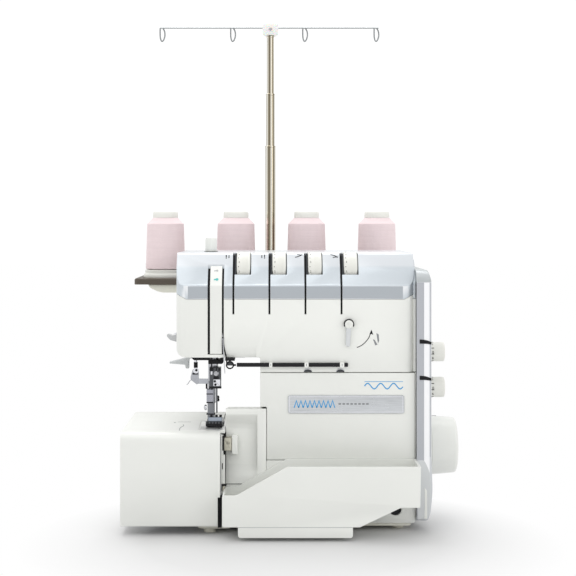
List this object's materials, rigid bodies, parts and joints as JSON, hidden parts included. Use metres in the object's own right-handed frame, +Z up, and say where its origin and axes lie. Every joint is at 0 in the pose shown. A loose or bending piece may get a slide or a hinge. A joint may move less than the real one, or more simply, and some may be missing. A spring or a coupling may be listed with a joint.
{
  "type": "serger overlock machine",
  "caption": "Home overlock machine with free arm, knives and loopers, tension dials, trim tray, handwheel, and a rear platform with thread cones and a telescopic thread stand.",
  "frame": {"origin": "bottom centre of the bounding box, on the table that the feet stand on", "axes": "+X to the right along the front (towards the handwheel), +Y to the back (towards the thread stand), +Z up"},
  "size_m": [0.3576, 0.31, 0.5513],
  "materials": {
    "white_plastic": "moulded warm white plastic with a soft gloss",
    "dial_plastic": "off-white moulded plastic",
    "silver_plastic": "silver painted plastic, satin",
    "grey_plastic": "light grey plastic",
    "black_plastic": "black plastic",
    "brown_plastic": "dark taupe plastic",
    "rubber": "black rubber",
    "cast_frame": "as-cast light alloy",
    "steel": "ground steel",
    "dark_steel": "dark nickel plated steel",
    "chrome": "polished tube with warm reflections",
    "thread": "pale pink wound polyester thread"
  },
  "bodies": {
    "machine": {"base_plate": "white_plastic", "foot_front_left": "rubber", "foot_front_right": "rubber", "foot_rear_left": "rubber", "foot_rear_right": "rubber", "main_frame": "cast_frame", "front_housing": "white_plastic", "rear_arm_cover": "white_plastic", "rear_base_cover": "white_plastic", "base_front_cover": "white_plastic", "top_cover": "silver_plastic", "side_panel": "silver_plastic", "needle_plate": "steel", "chip_guard": "white_plastic", "take_up_cover": "white_plastic", "looper_guide_rail": "black_plastic", "tension_shaft": "steel", "motor_case": "dark_steel", "lower_knife": "steel", "inlet_socket": "black_plastic", "spool_platform": "brown_plastic", "pole_base_tube": "chrome", "drive_belt": "rubber", "shaft_bearing": "steel"},
    "handwheel_set": {"handwheel": "dial_plastic", "main_shaft": "steel", "drive_pulley": "grey_plastic"},
    "motor_rotor": {"motor_pulley": "steel"},
    "needle_bar_set": {"needle_bar": "steel", "needle_clamp": "dark_steel", "needle_left": "steel", "needle_right": "steel"},
    "lifter": {"presser_lifter": "grey_plastic"},
    "presser_set": {"presser_bar": "steel", "presser_foot": "dark_steel"},
    "threader_hook": {"needle_threader": "steel"},
    "upper_looper_rod": {"upper_looper": "steel"},
    "lower_looper_arm": {"lower_looper": "steel"},
    "feed": {"feed_dog": "steel"},
    "knife": {"upper_knife": "dark_steel"},
    "threader_handle": {"threader_lever": "white_plastic"},
    "pressure_adjuster": {"pressure_knob": "white_plastic"},
    "stitch_length": {"stitch_length_dial": "dial_plastic"},
    "differential": {"differential_dial": "dial_plastic"},
    "rocker": {"power_switch": "black_plastic"},
    "front_door": {"looper_cover": "white_plastic", "name_plate": "silver_plastic"},
    "tray": {"trim_tray": "white_plastic"},
    "arm_cover": {"free_arm_cover": "white_plastic"},
    "pole_middle": {"pole_middle_tube": "chrome"},
    "pole_top": {"pole_top_tube": "chrome", "thread_guide_arms": "chrome"},
    "tension_1": {"tension_dial_1": "dial_plastic"},
    "cone_1": {"thread_cone_1": "thread"},
    "tension_2": {"tension_dial_2": "dial_plastic"},
    "cone_2": {"thread_cone_2": "thread"},
    "tension_3": {"tension_dial_3": "dial_plastic"},
    "cone_3": {"thread_cone_3": "thread"},
    "tension_4": {"tension_dial_4": "dial_plastic"},
    "cone_4": {"thread_cone_4": "thread"}
  },
  "joints": [
    {"name": "handwheel_spin", "type": "hinge", "parent": "machine", "child": "handwheel_set", "pos_m": [0.13355, -0.035, 0.0744], "axis": [1, 0, 0], "continuous": true},
    {"name": "motor_spin", "type": "hinge", "parent": "machine", "child": "motor_rotor", "pos_m": [0.13355, -0.012, 0.165], "axis": [1, 0, 0], "continuous": true},
    {"name": "needle_bar_slide", "type": "slide", "parent": "machine", "child": "needle_bar_set", "axis": [0, 0, -1], "range_m": [0, 0.027]},
    {"name": "presser_lifter_hinge", "type": "hinge", "parent": "machine", "child": "lifter", "pos_m": [-0.09245, -0.029, 0.178], "axis": [0, 1, 0], "range_deg": [0, 35]},
    {"name": "presser_bar_slide", "type": "slide", "parent": "machine", "child": "presser_set", "axis": [0, 0, 1], "range_m": [0, 0.006]},
    {"name": "needle_threader_slide", "type": "slide", "parent": "machine", "child": "threader_hook", "axis": [0, 0, -1], "range_m": [0, 0.012], "stiffness_N_per_m": 40, "springref_m": -0.012},
    {"name": "upper_looper_slide", "type": "slide", "parent": "machine", "child": "upper_looper_rod", "axis": [-0.35, 0, 0.9367], "range_m": [0, 0.014]},
    {"name": "lower_looper_swing", "type": "hinge", "parent": "machine", "child": "lower_looper_arm", "pos_m": [-0.03645, -0.076, 0.04], "axis": [0, -1, 0], "range_deg": [0, 20]},
    {"name": "feed_dog_slide", "type": "slide", "parent": "machine", "child": "feed", "axis": [0, 1, 0], "range_m": [-0.002, 0.002]},
    {"name": "upper_knife_slide", "type": "slide", "parent": "machine", "child": "knife", "axis": [0, 0, -1], "range_m": [0, 0.008]},
    {"name": "threader_lever_hinge", "type": "hinge", "parent": "machine", "child": "threader_handle", "pos_m": [0.05855, -0.113, 0.2101], "axis": [0, -1, 0], "range_deg": [0, 70]},
    {"name": "pressure_knob_turn", "type": "hinge", "parent": "machine", "child": "pressure_adjuster", "pos_m": [-0.08495, -0.04, 0.28], "axis": [0, 0, 1], "range_deg": [-180, 180]},
    {"name": "stitch_length_turn", "type": "hinge", "parent": "machine", "child": "stitch_length", "pos_m": [0.15155, -0.07, 0.178], "axis": [1, 0, 0], "range_deg": [-135, 135]},
    {"name": "differential_turn", "type": "hinge", "parent": "machine", "child": "differential", "pos_m": [0.15155, -0.07, 0.141], "axis": [1, 0, 0], "range_deg": [-90, 90]},
    {"name": "power_rocker", "type": "hinge", "parent": "machine", "child": "rocker", "pos_m": [0.13955, 0.022, 0.066], "axis": [0, 1, 0], "range_deg": [-7, 7]},
    {"name": "front_door_hinge", "type": "hinge", "parent": "machine", "child": "front_door", "pos_m": [0.04355, -0.11, 0.076], "axis": [1, 0, 0], "range_deg": [0, 88]},
    {"name": "trim_tray_slide", "type": "slide", "parent": "machine", "child": "tray", "axis": [0, -1, 0], "range_m": [0, 0.06]},
    {"name": "arm_cover_slide", "type": "slide", "parent": "machine", "child": "arm_cover", "axis": [-1, 0, 0], "range_m": [0, 0.1]},
    {"name": "pole_middle_slide", "type": "slide", "parent": "machine", "child": "pole_middle", "axis": [0, 0, -1], "range_m": [0, 0.06]},
    {"name": "pole_top_slide", "type": "slide", "parent": "pole_middle", "child": "pole_top", "axis": [0, 0, -1], "range_m": [0, 0.066]},
    {"name": "tension_dial_1_turn", "type": "hinge", "parent": "machine", "child": "tension_1", "pos_m": [-0.04875, -0.082, 0.2648], "axis": [1, 0, 0], "range_deg": [-150, 150]},
    {"name": "tension_dial_2_turn", "type": "hinge", "parent": "machine", "child": "tension_2", "pos_m": [-0.0121, -0.082, 0.2648], "axis": [1, 0, 0], "range_deg": [-150, 150]},
    {"name": "tension_dial_3_turn", "type": "hinge", "parent": "machine", "child": "tension_3", "pos_m": [0.02455, -0.082, 0.2648], "axis": [1, 0, 0], "range_deg": [-150, 150]},
    {"name": "tension_dial_4_turn", "type": "hinge", "parent": "machine", "child": "tension_4", "pos_m": [0.0612, -0.082, 0.2648], "axis": [1, 0, 0], "range_deg": [-150, 150]},
    {"name": "cone_1_lift", "type": "slide", "parent": "machine", "child": "cone_1", "axis": [0, 0, 1], "range_m": [0, 0.07]},
    {"name": "cone_2_lift", "type": "slide", "parent": "machine", "child": "cone_2", "axis": [0, 0, 1], "range_m": [0, 0.07]},
    {"name": "cone_3_lift", "type": "slide", "parent": "machine", "child": "cone_3", "axis": [0, 0, 1], "range_m": [0, 0.07]},
    {"name": "cone_4_lift", "type": "slide", "parent": "machine", "child": "cone_4", "axis": [0, 0, 1], "range_m": [0, 0.07]}
  ],
  "couplings": [
    {"joint": "motor_spin", "follows": "handwheel_spin", "ratio": 3.1111},
    {"joint": "presser_lifter_hinge", "follows": "presser_bar_slide", "rad_per_m": 101.8}
  ]
}
